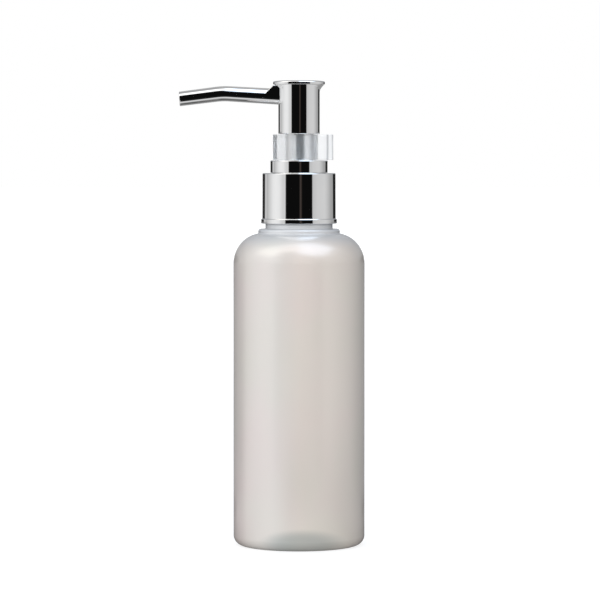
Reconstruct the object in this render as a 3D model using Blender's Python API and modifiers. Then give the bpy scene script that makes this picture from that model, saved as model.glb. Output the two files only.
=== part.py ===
"""Pump bottle: a round bottle with a chromed lotion pump, held up by a clear lock clip.

Metres, +Z up.  The origin is the centre of the base, and the nozzle points along -X.
Pieces that touch on the real object keep a small named gap.
"""

from math import asin, cos, degrees, pi, radians, sin, sqrt, tan

import bmesh
import bpy
from mathutils import Matrix

# Gaps between pieces
FIT_GAP = 0.0003
THREAD_GAP = 0.0004
BALL_GAP = 0.00015
CUT_OVERRUN = 0.001

# Bottle
BODY_RADIUS = 0.0250
BODY_WALL = 0.0010
HEEL_RADIUS = 0.0040
FOOT_WIDTH = 0.0035
FLOOR_THICKNESS = 0.0014
RECESS_DEPTH = 0.0008
BASE_PAD_RADIUS = 0.0050
SHOULDER_RADIUS = 0.0114
SHOULDER_TOP = 0.1189
BEAD_RADIUS = 0.0155
BEAD_HEIGHT = 0.0018
NECK_RING_RADIUS = 0.0128
NECK_RING_HEIGHT = 0.0021
NECK_RADIUS = 0.01095
NECK_BORE = 0.0090
NECK_HEIGHT = 0.0138

# Screw thread of a 24 mm neck
THREAD_PITCH = 0.00318
THREAD_TURNS = 1.5
THREAD_RIDGE = 0.0007
THREAD_SINK = 0.0005
THREAD_DROP = 0.0036

# Closure
GASKET_THICKNESS = 0.0007
HOUSING_FLANGE = 0.00145
COLLAR_WALL = 0.0009
COLLAR_PLATE = 0.0012
SHELL_WALL = 0.0004
SHELL_DRAFT = 0.0002
SHELL_EDGE = 0.0008
SHELL_SKIRT_DROP = 0.0006
ROLLED_EDGE_WIDTH = 0.0004
ROLLED_EDGE_HEIGHT = 0.0015
STEP_RADIUS = 0.0109
STEP_HEIGHT = 0.0046
STEP_EDGE = 0.0005
STEP_LIP = 0.0005
CHAPLET_WALL = 0.0027
CHAPLET_SKIRT_WALL = 0.0010
CHAPLET_LIP = 0.0009

# Pump engine
HOUSING_WALL = 0.0010
HOUSING_CUP_DEPTH = 0.0050
CYLINDER_LENGTH = 0.0300
VENT_RADIUS = 0.0005
VENT_DROP = 0.0030
BALL_LIP_THICKNESS = 0.0010
BALL_LIP_BORE = 0.0017
BALL_CHAMBER_RADIUS = 0.0027
INLET_BALL_RADIUS = 0.0020
INLET_BALL_TRAVEL = 0.0015
INLET_SEAT_BORE = 0.0013
SEAT_THICKNESS = 0.0010
SOCKET_DEPTH = 0.0060
DIP_TUBE_RADIUS = 0.0025
DIP_TUBE_BORE = 0.0018
DIP_TUBE_FLOOR_GAP = 0.0025
STEM_RADIUS = 0.0040
STEM_BORE = 0.0018
STEM_SPIGOT_RADIUS = 0.0030
OUTLET_BALL_RADIUS = 0.00175
OUTLET_BALL_TRAVEL = 0.0012
OUTLET_SEAT_BORE = 0.0012
OUTLET_CHAMBER_RADIUS = 0.0023
SLEEVE_WALL = 0.0010
PISTON_HEIGHT = 0.0060
PISTON_LIP = 0.0012
PISTON_WAIST = 0.0004
RETAINER_FLANGE_RADIUS = 0.0046
RETAINER_FLANGE = 0.0011
RETAINER_BORE = 0.0009
RETAINER_SPIGOT = 0.0040
SPRING_WIRE_RADIUS = 0.00035
SPRING_MEAN_RADIUS = 0.0043
SPRING_COILS = 9

# Lock clip
CLIP_HEIGHT = 0.0093
CLIP_WALL = 0.0014
CLIP_SNAP = 0.0003
CLIP_REACH = 0.0098
CLIP_LIP_LENGTH = 0.0016
CLIP_LIP_HEIGHT = 0.0012
CLIP_WEB_LENGTH = 0.0038
CLIP_WEB_THICKNESS = 0.0014
CLIP_PLATE_THICKNESS = 0.00215
CLIP_PLATE_WIDTH = 0.0090

# Head
PRESS_STOP_GAP = 0.0008
HEAD_RADIUS = 0.00785
HEAD_WALL = 0.0005
HEAD_STRAIGHT = 0.0161
HEAD_EDGE = 0.0004
FLARE_RADIUS = 0.0097
FLARE_HEIGHT = 0.0027
TOP_DEPTH_SHARE = 0.83
RIM_RADIUS = 0.00996
RIM_THICKNESS = 0.0010
RIM_EDGE = 0.0004
CROWN_HEIGHT = 0.0003
CROWN_SAG_SHARE = 0.35
CROWN_FLAT_RADIUS = 0.0035
PEG_RADIUS = 0.0030
PEG_LENGTH = 0.0010
CORE_INSET = 0.0007
SLEEVE_SOCKET_DEPTH = 0.0030
STEM_SOCKET_DEPTH = 0.0043
CHANNEL_RADIUS = 0.0016
CHANNEL_ROOF = 0.0022
CORE_TOP_BLOCK = 0.0088
CORE_WAIST_WALL = 0.0012
CORE_RIBS = 6
CORE_RIB_THICKNESS = 0.0008

# Nozzle
NOZZLE_ROOT_RADIUS = 0.0029
NOZZLE_TIP_RADIUS = 0.0028
NOZZLE_BORE = 0.0016
NOZZLE_DROP = 0.0043
NOZZLE_BEND_REACH = 0.0289
NOZZLE_BEND_RADIUS = 0.0260
NOZZLE_TIP_REACH = 0.0452
NOZZLE_RISE_ANGLE = radians(3.1)
NOZZLE_FALL_ANGLE = radians(7.2)
SPIGOT_RADIUS = 0.0022
SPIGOT_DEPTH = 0.0034
GUSSET_REACH = 0.0132
GUSSET_TOP_REACH = 0.0091
GUSSET_RISE = 0.0040
GUSSET_PROUD = 0.0001
GUSSET_OVERLAP = 0.0007

# Smoothness of the round surfaces
WIDE_STEPS = 40
SMALL_STEPS = 28
FINE_STEPS = 20
THREAD_STEPS_PER_TURN = 24
COIL_POINTS_PER_TURN = 10
TUBE_BEVEL_RESOLUTION = 6
WIRE_BEVEL_RESOLUTION = 1
THREAD_BEVEL_RESOLUTION = 2
BALL_RINGS = 10
MERGE_DISTANCE = 0.00001
SHARP_ANGLE = radians(40.0)

# Heights that several pieces share
FLOOR_TOP = RECESS_DEPTH + FLOOR_THICKNESS
BEAD_TOP = SHOULDER_TOP + BEAD_HEIGHT
NECK_RING_TOP = BEAD_TOP + NECK_RING_HEIGHT
MOUTH = NECK_RING_TOP + NECK_HEIGHT
GASKET_BOTTOM = MOUTH + FIT_GAP
FLANGE_BOTTOM = GASKET_BOTTOM + GASKET_THICKNESS + FIT_GAP
FLANGE_TOP = FLANGE_BOTTOM + HOUSING_FLANGE
PLATE_BOTTOM = FLANGE_TOP + FIT_GAP
PLATE_TOP = PLATE_BOTTOM + COLLAR_PLATE
COLLAR_BOTTOM = NECK_RING_TOP + FIT_GAP
SHELL_TOP = PLATE_TOP + FIT_GAP + SHELL_WALL
SHELL_BOTTOM = COLLAR_BOTTOM - SHELL_SKIRT_DROP
STEP_BOTTOM = SHELL_TOP + FIT_GAP
STEP_TOP = STEP_BOTTOM + STEP_HEIGHT
CLIP_BOTTOM = STEP_TOP + FIT_GAP
HEAD_BOTTOM = CLIP_BOTTOM + CLIP_HEIGHT + FIT_GAP
STROKE = HEAD_BOTTOM - STEP_TOP - PRESS_STOP_GAP
CUP_FLOOR = FLANGE_TOP - HOUSING_CUP_DEPTH
CHAPLET_BOTTOM = CUP_FLOOR + FIT_GAP
LIP_TOP = CHAPLET_BOTTOM + CHAPLET_LIP
SLEEVE_BOTTOM = LIP_TOP + STROKE + PRESS_STOP_GAP
PISTON_TOP = CHAPLET_BOTTOM - FIT_GAP
PISTON_BOTTOM = PISTON_TOP - PISTON_HEIGHT
RETAINER_TOP = PISTON_BOTTOM - FIT_GAP
RETAINER_BOTTOM = RETAINER_TOP - RETAINER_FLANGE
CYLINDER_FLOOR = CUP_FLOOR - CYLINDER_LENGTH
BALL_ROOF = CYLINDER_FLOOR - BALL_LIP_THICKNESS
INLET_REST = sqrt(INLET_BALL_RADIUS ** 2 - INLET_SEAT_BORE ** 2) + BALL_GAP
INLET_SEAT = BALL_ROOF - INLET_REST - INLET_BALL_RADIUS - INLET_BALL_TRAVEL - FIT_GAP
SOCKET_TOP = INLET_SEAT - SEAT_THICKNESS
SOCKET_BOTTOM = SOCKET_TOP - SOCKET_DEPTH
CORE_BOTTOM = HEAD_BOTTOM + CORE_INSET
STEM_SOCKET_BOTTOM = CORE_BOTTOM + SLEEVE_SOCKET_DEPTH
STEM_SOCKET_TOP = STEM_SOCKET_BOTTOM + STEM_SOCKET_DEPTH
STEM_TOP = STEM_SOCKET_TOP - FIT_GAP
OUTLET_REST = sqrt(OUTLET_BALL_RADIUS ** 2 - OUTLET_SEAT_BORE ** 2) + BALL_GAP
OUTLET_SEAT = STEM_TOP - OUTLET_REST - OUTLET_BALL_RADIUS - OUTLET_BALL_TRAVEL
FLARE_BOTTOM = HEAD_BOTTOM + HEAD_STRAIGHT
FLARE_TOP = FLARE_BOTTOM + FLARE_HEIGHT
CAP_BOTTOM = FLARE_TOP + FIT_GAP
RIM_TOP = CAP_BOTTOM + RIM_THICKNESS
HEAD_TOP = RIM_TOP + CROWN_HEIGHT
NOZZLE_HEIGHT = FLARE_TOP - NOZZLE_DROP

# Radii that several pieces share
NECK_THREAD_CENTRE = NECK_RADIUS + THREAD_RIDGE - THREAD_SINK
COLLAR_BORE = NECK_THREAD_CENTRE + THREAD_RIDGE + THREAD_GAP
COLLAR_THREAD_CENTRE = COLLAR_BORE - THREAD_RIDGE + THREAD_SINK
COLLAR_RADIUS = COLLAR_BORE + COLLAR_WALL
SHELL_BORE = COLLAR_RADIUS + FIT_GAP
SHELL_RADIUS = SHELL_BORE + SHELL_WALL
SLEEVE_BORE = STEM_RADIUS + FIT_GAP
SLEEVE_RADIUS = SLEEVE_BORE + SLEEVE_WALL
GUIDE_BORE = SLEEVE_RADIUS + FIT_GAP
CHAPLET_RADIUS = GUIDE_BORE + CHAPLET_WALL
UPSTAND_BORE = CHAPLET_RADIUS + FIT_GAP
STEP_BORE = STEP_RADIUS - SHELL_WALL
UPSTAND_RADIUS = STEP_BORE - FIT_GAP
CUP_BORE = GUIDE_BORE + CHAPLET_SKIRT_WALL + FIT_GAP
CYLINDER_BORE = GUIDE_BORE
PISTON_RADIUS = CYLINDER_BORE - FIT_GAP
SOCKET_BORE = DIP_TUBE_RADIUS + FIT_GAP
CORE_RADIUS = HEAD_RADIUS - HEAD_WALL - FIT_GAP

MATERIALS = {
    "pearl_plastic": ((0.62, 0.58, 0.56), 0.25, 0.0),
    "chrome_plate": ((0.85, 0.85, 0.86), 0.06, 1.0),
    "white_plastic": ((0.80, 0.80, 0.79), 0.40, 0.0),
    "natural_plastic": ((0.70, 0.70, 0.68), 0.45, 0.0),
    "clear_plastic": ((0.78, 0.79, 0.80), 0.20, 0.0),
    "spring_steel": ((0.55, 0.55, 0.56), 0.25, 1.0),
    "grey_elastomer": ((0.35, 0.35, 0.36), 0.70, 0.0),
}

# The moving groups: what each is carried by, and its pieces
CARRIERS = {
    "carrier_pump": ("bottle", ("neck_gasket", "pump_housing", "chaplet", "dip_tube", "return_spring")),
    "carrier_collar": ("carrier_pump", ("screw_collar", "collar_shell", "step_ring")),
    "carrier_plunger": ("carrier_pump", ("stem", "piston", "piston_retainer")),
    "carrier_head": ("carrier_plunger", ("stem_sleeve", "head_core", "head_shell", "head_cap", "nozzle")),
    "carrier_clip": ("carrier_pump", ("lock_clip",)),
    "carrier_inlet_ball": ("carrier_pump", ("inlet_ball",)),
    "carrier_outlet_ball": ("carrier_plunger", ("outlet_ball",)),
}


def clear_scene():
    """Remove the objects that the file holds."""
    for old in list(bpy.data.objects):
        bpy.data.objects.remove(old)


def make_collection(name, shown):
    """A new collection of the scene; a hidden one holds cutters."""
    group = bpy.data.collections.new(name)
    bpy.context.scene.collection.children.link(group)
    group.hide_render = not shown
    return group


def make_carriers():
    """An empty on its joint's axis for each group of pieces that moves as one."""
    for name, (parent, pieces) in CARRIERS.items():
        carrier = bpy.data.objects.new(name, None)
        PARTS.objects.link(carrier)
        carrier.parent = bpy.data.objects[parent]
        for piece in pieces:
            bpy.data.objects[piece].parent = carrier


def make_materials():
    """One Principled material for each stuff that the object is made of."""
    made = {}
    for name, (colour, roughness, metallic) in MATERIALS.items():
        stuff = bpy.data.materials.new(name)
        stuff.use_nodes = True
        shader = stuff.node_tree.nodes["Principled BSDF"]
        shader.inputs["Base Color"].default_value = (*colour, 1.0)
        shader.inputs["Roughness"].default_value = roughness
        shader.inputs["Metallic"].default_value = metallic
        stuff.diffuse_color = (*colour, 1.0)
        made[name] = stuff
    return made


def add_object(name, mesh, stuff):
    """Put a mesh into the object's collection, with its material."""
    piece = bpy.data.objects.new(name, mesh)
    PARTS.objects.link(piece)
    mesh.materials.append(STUFF[stuff].copy())
    mesh.materials[0].name = name
    return piece


def add_tool(name, mesh):
    """Put a mesh into the collection of cutters."""
    tool = bpy.data.objects.new(name, mesh)
    TOOLS.objects.link(tool)
    tool.hide_render = True
    tool.display_type = "WIRE"
    return tool


def profile_mesh(name, points, closed):
    """The edges of a profile in the XZ plane."""
    mesh = bpy.data.meshes.new(name)
    count = len(points)
    edges = [(i, i + 1) for i in range(count - 1)]
    if closed:
        edges.append((count - 1, 0))
    mesh.from_pydata([(r, 0.0, z) for r, z in points], edges, [])
    return mesh


def spin(piece, steps):
    """Turn the piece's profile about the Z axis."""
    screw = piece.modifiers.new("Turned", "SCREW")
    screw.axis = "Z"
    screw.angle = 2.0 * pi
    screw.steps = steps
    screw.render_steps = steps
    screw.use_merge_vertices = True
    screw.merge_threshold = MERGE_DISTANCE
    screw.use_smooth_shade = True


def turned(name, points, stuff, steps=WIDE_STEPS):
    """A turned piece; a profile that leaves the axis and comes back to it is left open."""
    piece = add_object(name, profile_mesh(name, points, points[0][0] > 0.0), stuff)
    spin(piece, steps)
    return piece


def turned_tool(name, points, steps=WIDE_STEPS):
    """A turned cutter."""
    tool = add_tool(name, profile_mesh(name, points, points[0][0] > 0.0))
    spin(tool, steps)
    return tool


def arc(centre, radius, start, end, count):
    """Points along an arc of the profile, by angles in degrees from the +X side."""
    step = radians(end - start) / count
    angles = [radians(start) + step * i for i in range(count + 1)]
    return [(centre[0] + radius * cos(a), centre[1] + radius * sin(a)) for a in angles]


def boolean(piece, tool, operation):
    """Cut, or join, one solid with another."""
    change = piece.modifiers.new(tool.name, "BOOLEAN")
    change.operation = operation
    change.object = tool
    change.solver = "EXACT"


def curve_mesh(name, curve):
    """The closed mesh of a curve object, which is then removed."""
    guide = bpy.data.objects.new(name, curve)
    TOOLS.objects.link(guide)
    bpy.context.view_layer.update()
    evaluated = guide.evaluated_get(bpy.context.evaluated_depsgraph_get())
    mesh = bpy.data.meshes.new_from_object(evaluated)
    mesh.name = name
    bpy.data.objects.remove(guide)
    shape = bmesh.new()
    shape.from_mesh(mesh)
    bmesh.ops.remove_doubles(shape, verts=shape.verts, dist=MERGE_DISTANCE)
    bmesh.ops.recalc_face_normals(shape, faces=shape.faces)
    shape.to_mesh(mesh)
    shape.free()
    mesh.shade_smooth()
    mesh.set_sharp_from_angle(angle=SHARP_ANGLE)
    return mesh


def rod_mesh(name, points, radii, bevel_resolution):
    """A round rod along the points, with a radius for each point."""
    curve = bpy.data.curves.new(name, "CURVE")
    curve.dimensions = "3D"
    curve.bevel_depth = radii[0]
    curve.bevel_resolution = bevel_resolution
    curve.use_fill_caps = True
    spline = curve.splines.new("POLY")
    spline.points.add(len(points) - 1)
    for point, place, radius in zip(spline.points, points, radii):
        point.co = (*place, 1.0)
        point.radius = radius / radii[0]
    return curve_mesh(name, curve)


def plate_mesh(name, outline, thickness):
    """A flat outline in the XY plane, thickened evenly about it."""
    curve = bpy.data.curves.new(name, "CURVE")
    curve.dimensions = "2D"
    curve.fill_mode = "BOTH"
    curve.extrude = thickness / 2.0
    spline = curve.splines.new("POLY")
    spline.points.add(len(outline) - 1)
    for point, place in zip(spline.points, outline):
        point.co = (place[0], place[1], 0.0, 1.0)
    spline.use_cyclic_u = True
    return curve_mesh(name, curve)


def helix(radius, bottom, pitch, turns, points_per_turn):
    """Points along a right-handed helix about the Z axis."""
    count = round(turns * points_per_turn)
    found = []
    for i in range(count + 1):
        turn = turns * i / count
        angle = 2.0 * pi * turn
        found.append((radius * cos(angle), radius * sin(angle), bottom + pitch * turn))
    return found


def cylinder_tool(name, radius, start, end, height):
    """A cutter along X, from start to end, at a height."""
    radii = [radius, radius]
    mesh = rod_mesh(name, [(start, 0.0, height), (end, 0.0, height)], radii, TUBE_BEVEL_RESOLUTION)
    return add_tool(name, mesh)


def thread_tool(name, centre_radius, bottom):
    """The ridge of a screw thread, to be joined to a wall."""
    route = helix(centre_radius, bottom, THREAD_PITCH, THREAD_TURNS, THREAD_STEPS_PER_TURN)
    radii = [THREAD_RIDGE] * len(route)
    return add_tool(name, rod_mesh(name, route, radii, THREAD_BEVEL_RESOLUTION))


def make_bottle():
    """Blown bottle: heel, round shoulder, bead, neck ring and threaded neck."""
    shoulder = (BODY_RADIUS - SHOULDER_RADIUS, SHOULDER_TOP - SHOULDER_RADIUS)
    heel = (BODY_RADIUS - HEEL_RADIUS, HEEL_RADIUS)
    bead = (BEAD_RADIUS - BEAD_HEIGHT / 2.0, SHOULDER_TOP + BEAD_HEIGHT / 2.0)
    foot_inner = BODY_RADIUS - HEEL_RADIUS - FOOT_WIDTH
    foot_angle = degrees(asin(max(bead[0] - shoulder[0], 0.0) / SHOULDER_RADIUS))
    inner_heel = HEEL_RADIUS - BODY_WALL
    inner_corner = (BODY_RADIUS - HEEL_RADIUS, FLOOR_TOP + inner_heel)
    outer = [(NECK_RADIUS, MOUTH), (NECK_RADIUS, NECK_RING_TOP)]
    outer += [(NECK_RING_RADIUS, NECK_RING_TOP), (NECK_RING_RADIUS, BEAD_TOP)]
    outer += arc(bead, BEAD_HEIGHT / 2.0, 90.0, -90.0, 6)
    outer += arc(shoulder, SHOULDER_RADIUS, 90.0 - foot_angle, 0.0, 8)
    outer += arc(heel, HEEL_RADIUS, 0.0, -90.0, 5)
    outer += [(foot_inner, 0.0), (foot_inner - RECESS_DEPTH, RECESS_DEPTH)]
    outer += [(BASE_PAD_RADIUS + RECESS_DEPTH, RECESS_DEPTH), (BASE_PAD_RADIUS, 0.0), (0.0, 0.0)]
    inner = [(0.0, FLOOR_TOP)]
    inner += arc(inner_corner, inner_heel, -90.0, 0.0, 4)
    inner += arc(shoulder, SHOULDER_RADIUS - BODY_WALL, 0.0, 90.0, 6)
    inner += [(NECK_BORE, SHOULDER_TOP - BODY_WALL), (NECK_BORE, MOUTH)]
    bottle = turned("bottle", inner + outer, "pearl_plastic")
    thread_bottom = MOUTH - THREAD_DROP - THREAD_TURNS * THREAD_PITCH
    boolean(bottle, thread_tool("neck_thread", NECK_THREAD_CENTRE, thread_bottom), "UNION")


def make_gasket():
    """Flat gasket between the neck's mouth and the pump's flange."""
    inner = CUP_BORE + HOUSING_WALL + FIT_GAP
    top = GASKET_BOTTOM + GASKET_THICKNESS
    ring = [(NECK_RADIUS, top), (NECK_RADIUS, GASKET_BOTTOM), (inner, GASKET_BOTTOM), (inner, top)]
    turned("neck_gasket", ring, "grey_elastomer", SMALL_STEPS)


def make_screw_collar():
    """Threaded collar with an upstand that carries the chromed step."""
    profile = [(UPSTAND_RADIUS, STEP_TOP - STEP_LIP - FIT_GAP), (UPSTAND_RADIUS, PLATE_TOP)]
    profile += [(COLLAR_RADIUS, PLATE_TOP), (COLLAR_RADIUS, COLLAR_BOTTOM)]
    profile += [(COLLAR_BORE, COLLAR_BOTTOM), (COLLAR_BORE, PLATE_BOTTOM)]
    profile += [(UPSTAND_BORE, PLATE_BOTTOM), (UPSTAND_BORE, STEP_TOP - STEP_LIP - FIT_GAP)]
    collar = turned("screw_collar", profile, "white_plastic")
    thread_bottom = MOUTH - THREAD_DROP - THREAD_TURNS * THREAD_PITCH - THREAD_PITCH / 2.0
    boolean(collar, thread_tool("collar_thread", COLLAR_THREAD_CENTRE, thread_bottom), "UNION")


def make_collar_shell():
    """Chromed shell over the collar, with a rolled edge at its foot."""
    foot = SHELL_RADIUS + SHELL_DRAFT
    rolled_top = SHELL_BOTTOM + ROLLED_EDGE_HEIGHT
    roll = ROLLED_EDGE_WIDTH / 2.0
    rim = foot + ROLLED_EDGE_WIDTH
    hole = UPSTAND_RADIUS + FIT_GAP
    under = SHELL_TOP - SHELL_WALL
    profile = [(hole, SHELL_TOP)]
    profile += arc((SHELL_RADIUS - SHELL_EDGE, SHELL_TOP - SHELL_EDGE), SHELL_EDGE, 90.0, 0.0, 4)
    profile += [(foot, rolled_top)]
    profile += arc((rim - roll, rolled_top - roll), roll, 90.0, 0.0, 2)
    profile += arc((rim - roll, SHELL_BOTTOM + roll), roll, 0.0, -90.0, 2)
    profile += [(SHELL_BORE + SHELL_DRAFT, SHELL_BOTTOM), (SHELL_BORE, under), (hole, under)]
    turned("collar_shell", profile, "chrome_plate")


def make_step_ring():
    """Chromed cap ring on the collar's upstand, the upper step."""
    edge = (STEP_RADIUS - STEP_EDGE, STEP_TOP - STEP_EDGE)
    profile = [(UPSTAND_BORE, STEP_TOP)]
    profile += arc(edge, STEP_EDGE, 90.0, 0.0, 3)
    profile += [(STEP_RADIUS, STEP_BOTTOM), (STEP_BORE, STEP_BOTTOM)]
    profile += [(STEP_BORE, STEP_TOP - STEP_LIP), (UPSTAND_BORE, STEP_TOP - STEP_LIP)]
    turned("step_ring", profile, "chrome_plate")


def make_chaplet():
    """Guide for the stem: an upstand, a skirt in the housing and a lip round the stem."""
    skirt = GUIDE_BORE + CHAPLET_SKIRT_WALL
    profile = [(CHAPLET_RADIUS, STEP_TOP), (CHAPLET_RADIUS, PLATE_BOTTOM), (skirt, PLATE_BOTTOM)]
    profile += [(skirt, CHAPLET_BOTTOM), (SLEEVE_BORE, CHAPLET_BOTTOM), (SLEEVE_BORE, LIP_TOP)]
    profile += [(GUIDE_BORE, LIP_TOP), (GUIDE_BORE, STEP_TOP)]
    turned("chaplet", profile, "white_plastic", SMALL_STEPS)


def make_housing():
    """Pump cylinder: flange, cup, cylinder, ball chamber and dip tube socket."""
    cup = CUP_BORE + HOUSING_WALL
    barrel = CYLINDER_BORE + HOUSING_WALL
    tail = max(BALL_CHAMBER_RADIUS, SOCKET_BORE) + HOUSING_WALL
    taper = barrel - tail
    profile = [(NECK_RADIUS, FLANGE_TOP), (NECK_RADIUS, FLANGE_BOTTOM), (cup, FLANGE_BOTTOM)]
    profile += [(cup, CUP_FLOOR), (barrel, CUP_FLOOR - (cup - barrel))]
    profile += [(barrel, CYLINDER_FLOOR), (tail, CYLINDER_FLOOR - taper), (tail, SOCKET_BOTTOM)]
    profile += [(SOCKET_BORE, SOCKET_BOTTOM), (SOCKET_BORE, SOCKET_TOP)]
    profile += [(INLET_SEAT_BORE, SOCKET_TOP), (INLET_SEAT_BORE, INLET_SEAT)]
    profile += [(BALL_CHAMBER_RADIUS, INLET_SEAT), (BALL_CHAMBER_RADIUS, BALL_ROOF)]
    profile += [(BALL_LIP_BORE, BALL_ROOF), (BALL_LIP_BORE, CYLINDER_FLOOR)]
    profile += [(CYLINDER_BORE, CYLINDER_FLOOR), (CYLINDER_BORE, CUP_FLOOR)]
    profile += [(CUP_BORE, CUP_FLOOR), (CUP_BORE, FLANGE_TOP)]
    housing = turned("pump_housing", profile, "natural_plastic", SMALL_STEPS)
    vent_start = CYLINDER_BORE - CUT_OVERRUN
    vent = cylinder_tool("vent", VENT_RADIUS, vent_start, barrel + CUT_OVERRUN, CUP_FLOOR - VENT_DROP)
    boolean(housing, vent, "DIFFERENCE")


def make_dip_tube():
    """Straight tube from the housing's socket to just above the bottle's floor."""
    top = SOCKET_TOP - FIT_GAP
    bottom = FLOOR_TOP + DIP_TUBE_FLOOR_GAP
    profile = [(DIP_TUBE_RADIUS, top), (DIP_TUBE_RADIUS, bottom)]
    profile += [(DIP_TUBE_BORE, bottom), (DIP_TUBE_BORE, top)]
    turned("dip_tube", profile, "natural_plastic", FINE_STEPS)


def make_stem():
    """Hollow stem with a spigot for the piston and a seat for the outlet ball."""
    seat_bottom = OUTLET_SEAT - SEAT_THICKNESS
    shoulder = PISTON_TOP + FIT_GAP
    foot = RETAINER_TOP + FIT_GAP
    profile = [(STEM_RADIUS, STEM_TOP), (STEM_RADIUS, shoulder), (STEM_SPIGOT_RADIUS, shoulder)]
    profile += [(STEM_SPIGOT_RADIUS, foot), (STEM_BORE, foot), (STEM_BORE, seat_bottom)]
    profile += [(OUTLET_SEAT_BORE, seat_bottom), (OUTLET_SEAT_BORE, OUTLET_SEAT)]
    profile += [(OUTLET_CHAMBER_RADIUS, OUTLET_SEAT), (OUTLET_CHAMBER_RADIUS, STEM_TOP)]
    turned("stem", profile, "white_plastic", FINE_STEPS)


def make_stem_sleeve():
    """Chromed sleeve round the stem, which shows between the head and the collar."""
    top = STEM_SOCKET_BOTTOM - FIT_GAP
    profile = [(SLEEVE_RADIUS, top), (SLEEVE_RADIUS, SLEEVE_BOTTOM)]
    profile += [(SLEEVE_BORE, SLEEVE_BOTTOM), (SLEEVE_BORE, top)]
    turned("stem_sleeve", profile, "chrome_plate", SMALL_STEPS)


def make_piston():
    """Piston ring with two sealing lips."""
    bore = STEM_SPIGOT_RADIUS + FIT_GAP
    waist = PISTON_RADIUS - PISTON_WAIST
    profile = [(PISTON_RADIUS, PISTON_TOP), (PISTON_RADIUS, PISTON_TOP - PISTON_LIP)]
    profile += [(waist, PISTON_TOP - PISTON_LIP - PISTON_WAIST)]
    profile += [(waist, PISTON_BOTTOM + PISTON_LIP + PISTON_WAIST)]
    profile += [(PISTON_RADIUS, PISTON_BOTTOM + PISTON_LIP), (PISTON_RADIUS, PISTON_BOTTOM)]
    profile += [(bore, PISTON_BOTTOM), (bore, PISTON_TOP)]
    turned("piston", profile, "natural_plastic", FINE_STEPS)


def make_piston_retainer():
    """Flanged plug under the piston; its spigot sits in the stem's bore."""
    spigot = STEM_BORE - FIT_GAP
    top = RETAINER_TOP + RETAINER_SPIGOT
    profile = [(spigot, top), (spigot, RETAINER_TOP), (RETAINER_FLANGE_RADIUS, RETAINER_TOP)]
    profile += [(RETAINER_FLANGE_RADIUS, RETAINER_BOTTOM), (RETAINER_BORE, RETAINER_BOTTOM)]
    profile += [(RETAINER_BORE, top)]
    turned("piston_retainer", profile, "white_plastic", FINE_STEPS)


def make_spring():
    """Coiled return spring between the cylinder's floor and the retainer."""
    bottom = CYLINDER_FLOOR + FIT_GAP + SPRING_WIRE_RADIUS
    top = RETAINER_BOTTOM - FIT_GAP - SPRING_WIRE_RADIUS
    pitch = (top - bottom) / SPRING_COILS
    route = helix(SPRING_MEAN_RADIUS, bottom, pitch, SPRING_COILS, COIL_POINTS_PER_TURN)
    radii = [SPRING_WIRE_RADIUS] * len(route)
    mesh = rod_mesh("return_spring", route, radii, WIRE_BEVEL_RESOLUTION)
    add_object("return_spring", mesh, "spring_steel")


def make_ball(name, radius, height):
    """A check ball, with its centre at a height on the axis."""
    mesh = bpy.data.meshes.new(name)
    shape = bmesh.new()
    bmesh.ops.create_uvsphere(shape, u_segments=2 * BALL_RINGS, v_segments=BALL_RINGS, radius=radius)
    shape.to_mesh(mesh)
    shape.free()
    mesh.shade_smooth()
    ball = add_object(name, mesh, "spring_steel")
    ball.location = (0.0, 0.0, height)


def clip_half_outline():
    """The clip's outline on its +Y side, from the plate round the ring to the mouth and back."""
    inner = GUIDE_BORE
    outer = inner + CLIP_WALL
    channel = SLEEVE_RADIUS - CLIP_SNAP
    web = CLIP_WEB_THICKNESS / 2.0
    plate_inner = outer + CLIP_WEB_LENGTH
    plate_outer = plate_inner + CLIP_PLATE_THICKNESS
    web_angle = degrees(asin(web / outer))
    wrap_angle = 180.0 - degrees(asin(channel / inner))
    lip_start = CLIP_REACH - CLIP_LIP_LENGTH
    half = [(plate_outer, CLIP_PLATE_WIDTH / 2.0), (plate_inner, CLIP_PLATE_WIDTH / 2.0)]
    half += [(plate_inner, web)]
    half += arc((0.0, 0.0), outer, web_angle, 90.0, 8)
    half += [(-lip_start, outer), (-lip_start, outer + CLIP_LIP_HEIGHT)]
    half += [(-CLIP_REACH, outer + CLIP_LIP_HEIGHT), (-CLIP_REACH, outer)]
    half += [(-lip_start, channel)]
    half += arc((0.0, 0.0), inner, wrap_angle, 0.0, 10)
    return half


def make_lock_clip():
    """Clear clip that snaps round the stem sleeve, with a plate to pull it by."""
    half = clip_half_outline()
    mirrored = [(x, -y) for x, y in reversed(half[:-1])]
    clip = add_object("lock_clip", plate_mesh("lock_clip", half + mirrored, CLIP_HEIGHT), "clear_plastic")
    clip.location = (0.0, 0.0, CLIP_BOTTOM + CLIP_HEIGHT / 2.0)


def oval_tool(name, profile):
    """A turned cutter, narrowed from front to back as the head's top is."""
    tool = turned_tool(name, profile)
    tool.scale = (1.0, TOP_DEPTH_SHARE, 1.0)
    return tool


def flare_tool(name, inset, overrun):
    """The oval flare of the head, set in from its outside and carried past its top."""
    top = FLARE_TOP + overrun
    profile = [(0.0, top), (FLARE_RADIUS - inset, top), (FLARE_RADIUS - inset, FLARE_TOP)]
    profile += [(HEAD_RADIUS - inset, FLARE_BOTTOM), (0.0, FLARE_BOTTOM)]
    return oval_tool(name, profile)


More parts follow.
